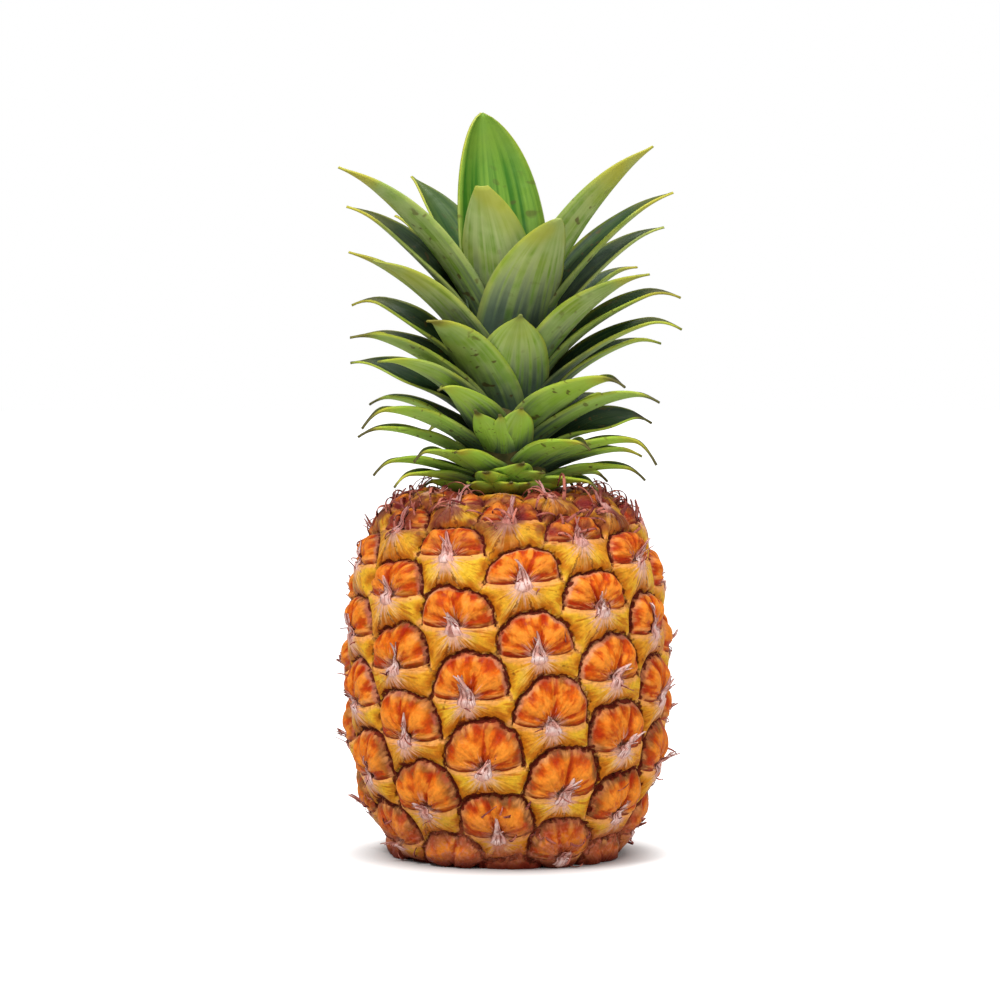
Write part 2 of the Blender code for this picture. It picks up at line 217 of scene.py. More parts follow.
side_radius, side_height = smooth_curve(PROFILE, PROFILE_STEPS).T
side_step = np.hypot(np.diff(side_radius), np.diff(side_height))
side_middle = (side_radius[1:] + side_radius[:-1]) / 2
side_up = np.concatenate([[0], np.cumsum(side_step / side_middle)])
side_along = np.concatenate([[0], np.cumsum(side_step)])
side_slope = np.gradient(side_radius, side_along), np.gradient(side_height, side_along)
side_out = side_slope[1] / np.hypot(*side_slope)
side_rise = -side_slope[0] / np.hypot(*side_slope)
side_each = (EYE_WIDTH * eye_size(side_radius, side_height)) ** 2
side_count = 2 * math.pi * side_middle * side_step / ((side_each[1:] + side_each[:-1]) / 2)
side_count = np.concatenate([[0], np.cumsum(side_count)])


def on_side(angle, up, lift, slide=0.0):
    """Points at an angle round the fruit and a place up its side, lifted off it and slid up it."""
    radius, height, out, rise = (
        np.interp(up, side_up, values) for values in (side_radius, side_height, side_out, side_rise)
    )
    radius = radius + out * lift - rise * slide
    height = np.maximum(height + rise * lift + out * slide, 0)
    return np.stack([radius * np.sin(angle), -radius * np.cos(angle), height], axis=-1)


def eye_places():
    """Angle, place up the side, radius, size and arch of each eye, from the base to the crown."""
    base = side_count[np.argmax(side_radius > LOWEST_EYE_RADIUS)]
    top = side_count[np.nonzero(side_radius > HIGHEST_EYE_RADIUS)[0][-1]]
    upper = side_height > PROFILE[FOOT_POINT][1]
    anchor = np.interp(ANCHOR_HEIGHT, side_height[upper], side_count[upper])
    turns = np.arange(math.ceil(base - anchor), math.floor(top - anchor) + 1)
    up = np.interp(anchor + turns, side_count, side_up)
    radius = np.interp(up, side_up, side_radius)
    height = np.interp(up, side_up, side_height)
    rise = ARCH_RISE + RISE_MORE * np.clip((RISE_FROM - height) / RISE_OVER, 0, 1)
    return ANCHOR_ANGLE + turns * TURN, up, radius, eye_size(radius, height), rise


EYES = list(zip(*eye_places()))
draw = random.Random(EYE_SEED)
EYE_LEAN = [draw.uniform(-0.14, 0.14) for _ in EYES]
EYE_TILT = [draw.uniform(-0.02, 0.09) for _ in EYES]
EYE_CREASE = [draw.uniform(-0.42, 0.42) for _ in EYES]
EYE_CHANCE = [draw.random() for _ in EYES]

ROUND = 6.28
WOBBLES = ((3, 0.034), (5, 0.024), (9, 0.020), (13, 0.012))
LOBE_SAG = 0.0012
CORNER_UP = 0.0010
LOBE_SWELL = 0.0019
LOBE_PLACE = (0.0072, 0.0068)
LOBE_REACH = 0.0050
CREASE_DEPTH = 0.0015
CREASE_WIDTH = 0.0010
HOLLOW_DEPTH = 0.0018
HOLLOW_REACH = 0.0030
LIP_DEPTH = 0.0015
LIP_EASE = 0.0009
PUCKERS = 11
PUCKER_DEPTH = 0.0008
PUCKER_FROM = 0.0030
PUCKER_REACH = 0.0024
KEEL_HEIGHT = 0.0010
KEEL_HALF = 0.0040
KEEL_LOW = -0.0045
KEEL_LENGTH = 0.0050
PLEAT_DEPTH = 0.0005
PLEAT_WIDTH = 0.0006
STAR_LOW = -0.0030
LEAN_FROM = -0.005
CREASE_FOOT = 0.001
CREASE_EASE = 0.004
PLEAT_EASE = 0.003
BRACT_WIDER = 1.3
BRACT_LOW = 0.006
UNDER_DOME = 0.05


def eye_fields(angle, up):
    """The skin's relief, and how each point lies among the eyes, in metres at full size."""
    count = len(angle)
    relief, score = np.zeros(count), np.full(count, -1e9)
    field = {name: np.zeros(count) for name in ("across", "above", "chance", "crease", "pucker")}
    field["dome"] = np.full(count, -EYE_WIDTH)
    for name in ("rim", "foot", "star"):
        field[name] = np.full(count, EYE_WIDTH)
    scale = np.ones(count)
    for number, (eye_angle, eye_up, radius, size, rise) in enumerate(EYES):
        turn = (angle - eye_angle + math.pi) % (2 * math.pi) - math.pi
        a = turn * radius / size
        b = (up - eye_up) * radius / size
        near = np.nonzero((np.abs(a) < EYE_WIDTH) & (np.abs(b) < EYE_WIDTH))[0]
        a, b = a[near], b[near] - EYE_TILT[number] * a[near]
        a = a + EYE_LEAN[number] * np.clip(b, LEAN_FROM, rise)
        beside = np.abs(a)
        chance = EYE_CHANCE[number]
        bearing = np.arctan2(b, a)
        wobble = sum(size_of * np.sin(waves * bearing + ROUND * chance * waves)
                     for waves, size_of in WOBBLES)
        reach = ((beside / ARCH_HALF) ** ARCH_POWER
                 + np.abs(b / rise) ** ARCH_POWER) ** (1 / ARCH_POWER)
        reach *= 1 + wobble * np.clip(np.sin(bearing), 0, 1)
        arch = np.where(b >= 0, np.abs(1 - reach) * ARCH_SPAN, np.hypot(ARCH_HALF - beside, b))
        closer = arch < field["rim"][near]
        field["rim"][near] = np.where(closer, arch, field["rim"][near])
        scale[near] = np.where(closer, size, scale[near])
        share = np.clip(beside / ARCH_HALF, 0, 1)
        below = b - CORNER_UP * share**3 + LOBE_SAG * np.sin(math.pi * share) ** 0.7
        inside = np.minimum((1 - reach) * ARCH_SPAN, below)
        field["dome"][near] = np.maximum(field["dome"][near], inside)
        foot = np.where(beside < ARCH_HALF, np.where(inside > 0, 0, np.abs(below)),
                        np.hypot(beside - ARCH_HALF, b))
        field["foot"][near] = np.minimum(field["foot"][near], foot)
        centre = np.hypot(a, b)
        field["star"][near] = np.minimum(field["star"][near], np.hypot(a, b - STAR_LOW))

        tilt = EYE_CREASE[number]
        crease = np.abs(a * math.cos(tilt) - b * math.sin(tilt)) + np.maximum(CREASE_FOOT - b, 0)
        fold = np.exp(-(crease / CREASE_WIDTH) ** 2) * np.clip(centre / CREASE_EASE, 0, 1)
        lobe = np.exp(-((beside - LOBE_PLACE[0]) ** 2 + (b - LOBE_PLACE[1]) ** 2) / LOBE_REACH**2)
        hollow = np.exp(-(centre / HOLLOW_REACH) ** 2)
        pucker = np.sin(PUCKERS * bearing + ROUND * chance + 1.5 * np.sin(3 * bearing + 9 * chance))
        pucker *= np.exp(-((inside - PUCKER_FROM) / PUCKER_REACH) ** 2)
        in_dome = (LOBE_SWELL * lobe - CREASE_DEPTH * fold - HOLLOW_DEPTH * hollow + PUCKER_DEPTH * pucker
                   - LIP_DEPTH * np.exp(-np.maximum(below, 0) / LIP_EASE))
        keel = np.exp(-(a / KEEL_HALF) ** 2 - ((b - KEEL_LOW) / KEEL_LENGTH) ** 2)
        pleat = np.exp(-(a / PLEAT_WIDTH) ** 2) * np.clip(-b / PLEAT_EASE, 0, 1)
        in_bract = KEEL_HEIGHT * keel - PLEAT_DEPTH * pleat
        mine = np.where(inside > 0, 1 + inside,
                        -np.hypot(a / BRACT_WIDER, b + BRACT_LOW) - np.where(below > 0, UNDER_DOME, 0))
        wins = mine > score[near]
        score[near] = np.where(wins, mine, score[near])
        relief[near] = np.where(wins, np.where(inside > 0, in_dome, in_bract), relief[near])
        for name, value in (("across", a), ("above", b), ("chance", chance), ("crease", crease),
                            ("pucker", pucker * MM)):
            field[name][near] = np.where(wins, value, field[name][near])
    ease = 1 - np.exp(-field["rim"] / PILLOW_EASE)
    return scale * (PILLOW_HEIGHT * ease - GROOVE_DEPTH + relief * ease), field


SKIN_COLUMNS = 370
SKIN_ROWS = 236
EVEN = 0.35
SNAP = 0.0006
END_ROWS = 2
SOCKET_GAP = 0.0003
SOCKET_DEPTH = 0.003


def snapped(angle, up):
    """Slides points that lie beside a groove's bottom onto it, so that the groove runs smooth."""
    tiny = 2e-4
    radius = np.interp(up, side_up, side_radius)
    here = eye_fields(angle, up)[1]["rim"]
    turn_slope = (eye_fields(angle + tiny / radius, up)[1]["rim"] - here) / tiny
    up_slope = (eye_fields(angle, up + tiny / radius)[1]["rim"] - here) / tiny
    steep = np.maximum(turn_slope**2 + up_slope**2, 0.25)
    move = np.where(here < SNAP, here / steep, 0) / radius
    return angle - move * turn_slope, up - move * up_slope


def write_values(mesh, name, values):
    layer = mesh.attributes.new(name, "FLOAT", "POINT")
    layer.data.foreach_set("value", np.ascontiguousarray(values, np.float32))


def finished(name, shape, *finishes):
    """An object made of the shape, with its materials, and smooth."""
    mesh = bpy.data.meshes.new(name)
    shape.to_mesh(mesh)
    shape.free()
    mesh.shade_smooth()
    made = bpy.data.objects.new(name, mesh)
    scene.collection.objects.link(made)
    for finish in finishes:
        mesh.materials.append(finish)
    return made


def make_rind():
    """A sheet wrapped round the fruit, its two ends drawn in to close the sockets."""
    shape = bmesh.new()
    bmesh.ops.create_grid(shape, x_segments=SKIN_COLUMNS, y_segments=SKIN_ROWS, size=1)
    mesh = bpy.data.meshes.new("rind sheet")
    shape.to_mesh(mesh)
    shape.free()
    flat = np.empty(len(mesh.vertices) * 3, np.float32)
    mesh.vertices.foreach_get("co", flat)
    flat = flat.reshape(-1, 3).astype(np.float64)
    angle = flat[:, 0] * math.pi
    last = SKIN_ROWS - 2 * END_ROWS
    row_up = np.interp(np.linspace(0, side_along[-1], last + 1), side_along, side_up)
    row = np.rint((flat[:, 1] + 1) / 2 * SKIN_ROWS).astype(int)
    up = row_up[np.clip(row - END_ROWS, 0, last)]
    skin = (row > END_ROWS) & (row < SKIN_ROWS - END_ROWS)
    seam = np.abs(flat[:, 0]) > 1 - 1e-6
    angle[seam] = math.pi
    angle[skin], up[skin] = snapped(angle[skin], up[skin])
    relief, field = eye_fields(angle, up)
    relief[~skin] = 0
    calm = np.clip(np.minimum(up, side_up[-1] - up) / EVEN, 0, 1)
    places = on_side(angle, up, relief * calm)
    below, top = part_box("stalk")[1][2] + SOCKET_GAP, PROFILE[-1][1] - SOCKET_DEPTH
    for end, radius, height in ((0, 0, below), (1, PROFILE[0][0], below),
                                (SKIN_ROWS, 0, top), (SKIN_ROWS - 1, PROFILE[-1][0], top)):
        here = row == end
        places[here] = np.stack([radius * np.sin(angle[here]), -radius * np.cos(angle[here]),
                                 np.full(here.sum(), height)], axis=-1)
    mesh.vertices.foreach_set("co", places.astype(np.float32).ravel())
    for name, values in field.items():
        write_values(mesh, name, values if name == "chance" else values / MM)
    shape = bmesh.new()
    shape.from_mesh(mesh)
    bpy.data.meshes.remove(mesh)
    bmesh.ops.remove_doubles(shape, verts=shape.verts, dist=1e-5)
    bmesh.ops.recalc_face_normals(shape, faces=shape.faces)
    return shape


def between(tree, value, low, high, to_low=0.0, to_high=1.0):
    """The value eased from one level to another between two bounds."""
    return put(tree, "ShaderNodeMapRange", {0: value, 1: low, 2: high, 3: to_low, 4: to_high},
               interpolation_type="SMOOTHSTEP")


def tint(tree, amount, first, second, blend_type="MIX"):
    """Two colours mixed by an amount from 0 to 1."""
    first, second = (c if isinstance(c, bpy.types.NodeSocket) else (*c, 1.0) for c in (first, second))
    return put(tree, "ShaderNodeMix", {0: amount, 6: first, 7: second}, out=2,
               data_type="RGBA", blend_type=blend_type)


def layered(tree, colour, layers):
    """A colour under layers, each the amount and the colour of what lies over it."""
    for amount, over in layers:
        colour = tint(tree, amount, colour, over)
    return colour


def noise(tree, place, scale, detail=3.0, roughness=0.5):
    return put(tree, "ShaderNodeTexNoise",
               {"Vector": place, "Scale": scale, "Detail": detail, "Roughness": roughness})


def new_finish(name, roughness, specular=0.5):
    """A material with its principled shader and where on the piece its colour is read."""
    finish = bpy.data.materials.new(name)
    finish.use_nodes = True
    tree = finish.node_tree
    shader = tree.nodes["Principled BSDF"]
    shader.inputs["Roughness"].default_value = roughness
    shader.inputs["Specular IOR Level"].default_value = specular
    place = put(tree, "ShaderNodeTexCoord", {}, out="Object")
    return finish, tree, shader, place


def value_of(tree, name):
    return put(tree, "ShaderNodeAttribute", {}, out="Fac", attribute_name=name)


def bumped(tree, shader, height, strength, distance):
    normal = put(tree, "ShaderNodeBump", {"Height": height, "Strength": strength, "Distance": distance})
    tree.links.new(normal, shader.inputs["Normal"])


def new_group(name, inputs, outputs):
    """A shader node group with named inputs and outputs."""
    group = bpy.data.node_groups.new(name, "ShaderNodeTree")
    for socket, kind in inputs:
        group.interface.new_socket(name=socket, in_out="INPUT", socket_type=kind)
    for socket, kind in outputs:
        group.interface.new_socket(name=socket, in_out="OUTPUT", socket_type=kind)
    return group, group.nodes.new("NodeGroupInput"), group.nodes.new("NodeGroupOutput")


FLOAT, VECTOR = "NodeSocketFloat", "NodeSocketVector"
fibres, given, sent = new_group(
    "fibres",
    (("Across", FLOAT), ("Along", FLOAT), ("Fineness", FLOAT), ("Chance", FLOAT)),
    (("Streak", FLOAT), ("Height", FLOAT)),
)
lane = times(fibres, given.outputs["Across"], given.outputs["Fineness"])
apart = times(fibres, given.outputs["Chance"], 37.0)
strand = put(fibres, "ShaderNodeCombineXYZ", {0: lane, 1: given.outputs["Along"], 2: apart})
fibres.links.new(noise(fibres, strand, 1.0, 2.5, 0.55), sent.inputs["Streak"])
fibres.links.new(noise(fibres, strand, 1.6, 1.0, 0.5), sent.inputs["Height"])

mottle, given, sent = new_group(
    "mottle", (("Place", VECTOR), ("Size", FLOAT)), (("Patches", FLOAT), ("Grain", FLOAT))
)
spread = sums(mottle, "DIVIDE", 1.0, given.outputs["Size"])
coarse = noise(mottle, given.outputs["Place"], spread, 1.5)
grain = noise(mottle, given.outputs["Place"], times(mottle, spread, 5.0), 2.0)
mottle.links.new(between(mottle, coarse, 0.32, 0.68), sent.inputs["Patches"])
mottle.links.new(grain, sent.inputs["Grain"])


def use_fibres(tree, across, along, fineness, chance):
    """Streaks along the growth, and their height, from a place across and along it."""
    inputs = {"Across": across, "Along": along, "Fineness": fineness, "Chance": chance}
    streak = put(tree, "ShaderNodeGroup", inputs, node_tree=fibres)
    return streak, streak.node.outputs["Height"]


def use_mottle(tree, place, size):
    """Soft patches of a size, and a grain five times finer."""
    patches = put(tree, "ShaderNodeGroup", {"Place": place, "Size": size}, node_tree=mottle)
    return patches, patches.node.outputs["Grain"]


RIM_BROWN = (0.120, 0.0080, 0.0030)
RIM_PINK = (0.78, 0.340, 0.170)
RIM_MAUVE = (0.50, 0.190, 0.125)
DOME_ORANGE = (0.74, 0.135, 0.003)
DOME_LIGHT = (0.93, 0.295, 0.028)
DOME_RED = (0.43, 0.020, 0.001)
DOME_OLIVE = (0.27, 0.100, 0.005)
DOME_MAUVE = (0.230, 0.085, 0.022)
BAND_BROWN = (0.22, 0.022, 0.003)
HEART_BROWN = (0.055, 0.010, 0.006)
LIP_LIGHT = (0.96, 0.410, 0.120)
BRACT_GOLD = (0.94, 0.440, 0.028)
BRACT_CREAM = (0.97, 0.620, 0.210)
BRACT_GREEN = (0.72, 0.490, 0.024)
BRACT_AMBER = (0.52, 0.130, 0.004)
BRACT_BROWN = (0.13, 0.022, 0.003)
FIBRE_PINK = (0.83, 0.455, 0.345)
TOP_PURPLE = (0.15, 0.015, 0.020)
BASE_PINK = (0.50, 0.120, 0.050)
RIM_ROUGHNESS = 0.75


def make_rind_finish():
    finish, tree, shader, place = new_finish("rind", 0.42, 0.09)
    names = ("rim", "dome", "foot", "star", "crease", "pucker", "across", "above", "chance")
    rim, dome, foot, star, crease, pucker, across, above, chance = (value_of(tree, name) for name in names)
    patches, grain = use_mottle(tree, place, 0.007)
    broad, fleck = use_mottle(tree, place, 0.016)

    # Where each point lies in its eye, in millimetres, and fibres that fan out from its middle
    flat = put(tree, "ShaderNodeCombineXYZ", {0: across, 1: above})
    far = put(tree, "ShaderNodeVectorMath", {0: flat}, out="Value", operation="LENGTH")
    bearing = sums(tree, "ARCTAN2", above, across)
    rays, ray_height = use_fibres(tree, bearing, times(tree, far, 0.16), 3.2, chance)
    star_bearing = sums(tree, "ARCTAN2", plus(tree, above, 2.0), across)
    lines, line_height = use_fibres(tree, star_bearing, times(tree, far, 0.10), 6.5, chance)
    swing = between(tree, rays, 0.32, 0.68, -1.0, 1.0)
    turned = plus(tree, across, between(tree, chance, 0.0, 1.0, -9.0, 9.0))
    height = put(tree, "ShaderNodeSeparateXYZ", {0: place}, out="Z")
    lowness = between(tree, height, 0.080, 0.030)
    side = sums(tree, "ABSOLUTE", across)

    # The dome: orange lobes with red streaks, duller on one side, with painted highlight on the lobes
    # and pucker crests and painted shade in the hollows, the crease, the rim ring, the heart and the lip
    # Painted highlight: the orange turns lighter towards the middle of each swelling lobe.
    lobe_place = put(tree, "ShaderNodeCombineXYZ",
                     {0: sums(tree, "SUBTRACT", side, 6.5), 1: sums(tree, "SUBTRACT", above, 5.6)})
    lobe = put(tree, "ShaderNodeVectorMath", {0: lobe_place}, out="Value", operation="LENGTH")
    lobe = plus(tree, lobe, times(tree, swing, 2.2))
    orange = tint(tree, between(tree, lobe, 6.0, 1.0, 0.0, 0.8), DOME_ORANGE, DOME_LIGHT)
    core = times(tree, between(tree, rim, 3.0, 6.0, 0.0, 0.5), lowness)
    # A darker ring inside the rim, red on one side of the eye and olive on the other: its own colour,
    # deepened as painted shade where the dome falls to the groove.
    dusk = tint(tree, between(tree, turned, -4.0, 7.0), DOME_RED, DOME_OLIVE)
    ring = plus(tree, dome, times(tree, swing, 1.3))
    ring = times(tree, between(tree, ring, 4.6, 1.6), between(tree, broad, 0.0, 0.8, 0.15, 0.85))
    # Painted highlight along the pucker crests near the rim.
    ridge_highlight = times(tree, between(tree, pucker, 0.3, 0.9), between(tree, dome, 3.5, 1.5, 0.0, 0.6))
    light = times(tree, between(tree, rays, 0.48, 0.36), between(tree, dome, 1.0, 3.0))
    veins = times(tree, between(tree, lines, 0.44, 0.34), between(tree, far, 8.5, 3.0, 0.0, 0.75))
    low_ring = between(tree, plus(tree, rim, swing), 4.6, 1.6)
    low_ring = times(tree, low_ring, lowness)
    low_ring = times(tree, low_ring, between(tree, broad, 0.1, 0.9, 0.55, 1.0))
    fringe = times(tree, between(tree, lines, 0.50, 0.62), between(tree, dome, 3.4, 1.2, 0.0, 0.6))
    gleam = times(tree, between(tree, lines, 0.46, 0.36), between(tree, dome, 3.6, 1.4, 0.0, 0.5))
    # A red-brown band along the dome's lower edge, darkened as a painted shadow where the bract's lip rises
    # over it.
    low_edge = sums(tree, "SUBTRACT", dome, times(tree, swing, 0.5))
    low_edge = times(tree, between(tree, low_edge, 1.5, 0.3), between(tree, rim, 1.6, 3.0))
    pale = plus(tree, rim, times(tree, swing, 0.45))
    pale = times(tree, between(tree, pale, 2.4, 1.2), between(tree, broad, 0.1, 0.8, 0.80, 0.25))
    pale = times(tree, pale, between(tree, height, 0.080, 0.030, 1.0, 0.35))
    pink = tint(tree, between(tree, turned, -5.0, 8.0), RIM_PINK, RIM_MAUVE)
    orange = layered(tree, orange, (
        (core, DOME_LIGHT),
        (times(tree, patches, 0.18), DOME_RED),
        (ring, dusk),
        (between(tree, rays, 0.52, 0.68, 0.0, 0.65), DOME_RED),
        # Painted shade in the pucker hollows and painted light on their crests.
        (between(tree, pucker, -0.1, -0.8, 0.0, 0.7), DOME_RED),
        (between(tree, pucker, 0.1, 0.8, 0.0, 0.7), DOME_LIGHT),
        (ridge_highlight, LIP_LIGHT),
        # Red along the crease, deepened there as painted shade.
        (between(tree, crease, 1.5, 0.3, 0.0, 0.85), DOME_RED),
        (times(tree, light, 0.75), DOME_LIGHT),
        (veins, FIBRE_PINK),
        (low_ring, DOME_MAUVE),
        (fringe, DOME_RED),
        (gleam, LIP_LIGHT),
        # Dark brown at the heart: its own dark middle, deepened as painted shade in the hollow.
        (between(tree, far, 3.4, 1.0, 0.0, 0.85), HEART_BROWN),
        (times(tree, low_edge, 0.85), BAND_BROWN),
        (pale, pink),
    ))

    # The bract's foot: gold with cream fibres, green at its sides and amber towards the groove, deepened
    # there as painted shade
    yellow = tint(tree, times(tree, broad, 0.45), BRACT_GOLD, BRACT_AMBER)
    green = times(tree, between(tree, side, 3.0, 7.0), between(tree, broad, 1.0, 0.2, 0.0, 0.5))
    cream = times(tree, between(tree, lines, 0.40, 0.58), between(tree, side, 9.0, 2.0))
    cream = times(tree, cream, between(tree, patches, 0.0, 0.7, 0.3, 0.95))
    lip = plus(tree, foot, times(tree, swing, 0.6))
    # Amber towards the groove below: the bract's own colour, with painted shade where it slopes down into
    # the groove.
    amber = plus(tree, rim, between(tree, lines, 0.35, 0.65, -1.3, 1.3))
    amber = times(tree, between(tree, amber, 4.6, 1.0), between(tree, foot, 1.5, 5.0))
    keel = times(tree, plus(tree, above, 3.5), -0.55)
    keel = sums(tree, "SUBTRACT", side, plus(tree, keel, between(tree, grain, 0.3, 0.7, -0.6, 0.6)))
    in_keel = times(tree, between(tree, keel, 0.4, -1.2), between(tree, above, -4.5, -7.5))
    pleat = times(tree, between(tree, sums(tree, "ABSOLUTE", keel), 0.8, 0.1),
                 between(tree, above, -5.5, -8.0))
    yellow = layered(tree, yellow, (
        (green, BRACT_GREEN),
        (cream, BRACT_CREAM),
        (between(tree, lip, 2.8, 0.9, 0.0, 0.8), LIP_LIGHT),
        (times(tree, amber, 0.85), BRACT_AMBER),
        (times(tree, in_keel, 0.55), BRACT_AMBER),
        (times(tree, pleat, 0.7), BRACT_BROWN),
        (between(tree, lines, 0.55, 0.66, 0.0, 0.75), BRACT_AMBER),
        (between(tree, fleck, 0.66, 0.76, 0.0, 0.6), BRACT_BROWN),
    ))

    # Both together, with the pink star of strands, the dark rim, purple patches near the crown,
    # and a pinker base darkened with painted shade
    skin = tint(tree, between(tree, dome, -0.12, 0.12), yellow, orange)
    strands = plus(tree, star, between(tree, lines, 0.34, 0.66, 2.0, -1.8))
    crinkle = between(tree, noise(tree, place, 330.0, 1.2, 0.5), 0.3, 0.7, -0.55, 0.55)
    band = times(tree, rim, sums(tree, "SIGN", dome))
    band = sums(tree, "ABSOLUTE", plus(tree, band, crinkle))
    band = plus(tree, band, times(tree, swing, 0.20))
    inner = between(tree, dome, -0.2, 0.3, 0.24, 0.46)
    inner = plus(tree, inner, between(tree, turned, -6.0, 6.0, 0.22, -0.08))
    inner = plus(tree, inner, times(tree, lowness, 0.18))
    dark = between(tree, sums(tree, "SUBTRACT", band, inner), 0.45, -0.20)
    # Darker and purple towards the crown, in patches.
    near_crown = times(tree, between(tree, height, 0.119, 0.134),
                      between(tree, patches, 0.1, 0.8, 0.30, 1.0))
    # Pinker and mottled towards the base: its own redder colour, darkened as painted shade.
    base_tint_and_shade = between(tree, patches, 0.2, 0.8, 0.1, 0.7)
    base_tint_and_shade = times(tree, between(tree, height, 0.026, 0.006), base_tint_and_shade)
    blotch = between(tree, grain, 0.52, 0.64, 0.0, 0.5)
    blotch = times(tree, between(tree, height, 0.024, 0.006), blotch)
    skin = layered(tree, skin, (
        (between(tree, strands, 6.6, 1.2, 0.0, 0.9), FIBRE_PINK),
        (times(tree, dark, 0.96), RIM_BROWN),
        (times(tree, near_crown, 0.85), TOP_PURPLE),
        (base_tint_and_shade, BASE_PINK),
        (blotch, RIM_MAUVE),
        # Painted shade: the lowest rind, which lies in shade near the floor, darkens towards brown.
        (between(tree, height, 0.006, 0.001, 0.0, 0.9), RIM_BROWN),
    ))
    depth = between(tree, grain, 0.34, 0.66, 0.90, 1.10)
    shade = put(tree, "ShaderNodeCombineColor", {0: depth, 1: depth, 2: depth})
    skin = tint(tree, 1.0, skin, shade, "MULTIPLY")
    tree.links.new(skin, shader.inputs["Base Color"])

    # A waxy sheen that the dry rim lacks, and relief from the fibres and the grain
    gloss = between(tree, grain, 0.3, 0.7, 0.36, 0.60)
    gloss = put(tree, "ShaderNodeMix", {0: dark, 2: gloss, 3: RIM_ROUGHNESS}, data_type="FLOAT")
    tree.links.new(gloss, shader.inputs["Roughness"])
    bumps = times(tree, ray_height, between(tree, dome, 0.0, 2.0, 0.1, 1.0))
    bumps = plus(tree, bumps, times(tree, grain, 0.4))
    bumps = plus(tree, bumps, times(tree, line_height, 0.6))
    bumps = sums(tree, "SUBTRACT", bumps, times(tree, dark, 0.8))
    bumped(tree, shader, bumps, 0.8, 0.0010)
    return finish


rind = finished("rind", make_rind(), make_rind_finish())
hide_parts("fruit")
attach(rind, "root")

# The bract tips
# A dry, papery, pinkish tongue grows from the foot of an eye's bract and stands over the dome,
# split into four ragged strands. The 14 eyes under the base or inside the dish have none.
FLAT_BELOW = 0.004
HIDDEN_WITHIN = 0.029
TOP_FROM = 0.112
TOP_OVER = 0.020
TOP_LONGER = 0.3
TOP_LIFT = 0.003
TONGUE_SEED = 11
TONGUE_STRANDS = 4
TONGUE_LENGTH = (0.0090, 0.0160)
TONGUE_HALF = 0.0033
TONGUE_FOOT = -0.0046
STRAND_HALF = (0.0009, 0.0017)
STRAND_LENGTH = (0.55, 1.0)
TONGUE_COLUMNS = 2
TONGUE_ROWS = 10
TONGUE_WALL = 0.00022
TONGUE_LEAN = 0.40
TONGUE_LIFT = (0.0004, 0.0016)
STANDS_UP = 0.0036
STRAND_BOW = 0.12
STRAND_TIP = 0.00010
STRAND_CURL = 0.0018
STRAND_RIPPLE = 0.0004
STRAND_ARCH = 0.0004
MIDDLE_UP = 0.0003
ROOT_SINK = 0.0005
ROOT_LENGTH = 0.15
PAPER_ROSE = (0.80, 0.40, 0.33)
PAPER_PALE = (0.95, 0.73, 0.68)
PAPER_EDGE = (0.38, 0.09, 0.06)
PAPER_SLIT = (0.30, 0.070, 0.045)
PAPER_BROWN = (0.26, 0.085, 0.050)
PAPER_PURPLE = (0.40, 0.075, 0.060)


def tipped_eyes():
    """Angle, place up the side, radius, size and height of each eye that keeps its dry parts."""
    for eye_angle, eye_up, radius, size, _ in EYES:
        height = np.interp(eye_up, side_up, side_height)
        if height >= FLAT_BELOW and radius >= HIDDEN_WITHIN:
            yield eye_angle, eye_up, radius, size, height


def make_tongues():
    """Pointed strands for each eye, laid over its dome, leaning and curling by chance."""
    draw = random.Random(TONGUE_SEED)
    shape = bmesh.new()
    tips = []
    for eye_angle, eye_up, radius, size, height in tipped_eyes():
        near_top = np.clip((height - TOP_FROM) / TOP_OVER, 0, 1)
        length = draw.uniform(*TONGUE_LENGTH) * (1 + TOP_LONGER * near_top)
        lean = draw.uniform(-TONGUE_LEAN, TONGUE_LEAN)
        curl = draw.random() ** 2
        lift = draw.uniform(*TONGUE_LIFT) + STANDS_UP * draw.random() ** 2
        lift += TOP_LIFT * near_top * draw.random()
        for strand in range(TONGUE_STRANDS):
            start = (strand + 0.5) / TONGUE_STRANDS * 2 - 1
            reach = length * (draw.uniform(*STRAND_LENGTH) if strand != TONGUE_STRANDS // 2 else 1.0)
            half = draw.uniform(*STRAND_HALF) * (1.5 - abs(start))
            bow = lean - 0.25 * start + draw.uniform(-STRAND_BOW, STRAND_BOW)
            rise_of = lift * draw.uniform(0.6, 1.3)
            wave = draw.uniform(0, ROUND)
            made = bmesh.ops.create_grid(shape, x_segments=TONGUE_COLUMNS, y_segments=TONGUE_ROWS, size=1)
            for vertex in made["verts"]:
                across, t = vertex.co.x, (vertex.co.y + 1) / 2
                width = half * (1 - t) ** 0.5 * (1 + 0.2 * math.sin(13 * t + wave)) + STRAND_TIP
                a = start * TONGUE_HALF * (1 - 0.55 * t) + across * width + reach * t * math.sin(bow * t)
                b = TONGUE_FOOT + 0.0010 * abs(start) + reach * t * math.cos(bow * t) * (1 - 0.25 * curl * t)
                off = rise_of * t**1.7 + STRAND_CURL * curl * t**3
                off += STRAND_RIPPLE * math.sin(8 * t + wave) * t
                off += STRAND_ARCH * (1 - across**2) * (0.4 + t) + MIDDLE_UP * (1 - abs(start))
                off -= ROOT_SINK * max(ROOT_LENGTH - t, 0) / ROOT_LENGTH
                tips.append((eye_angle + a * size / radius, eye_up + b * size / radius, off * size,
                             across, t, wave / ROUND))
    angle, up, off, across, along, chance = np.array(tips).T
    relief = eye_fields(angle, up)[0].reshape(-1, TONGUE_ROWS + 1, TONGUE_COLUMNS + 1)
    eased = relief.copy()
    for _ in range(3):
        eased[:, 1:-1] = (eased[:, :-2] + 2 * eased[:, 1:-1] + eased[:, 2:]) / 4
    places = on_side(angle, up, np.maximum(relief, eased).ravel() + off)
    layers = [shape.verts.layers.float.new(name) for name in ("across", "along", "chance")]
    for vertex, place, *values in zip(shape.verts, places, across, along, chance):
        vertex.co = place
        for layer, value in zip(layers, values):
            vertex[layer] = value
    return shape


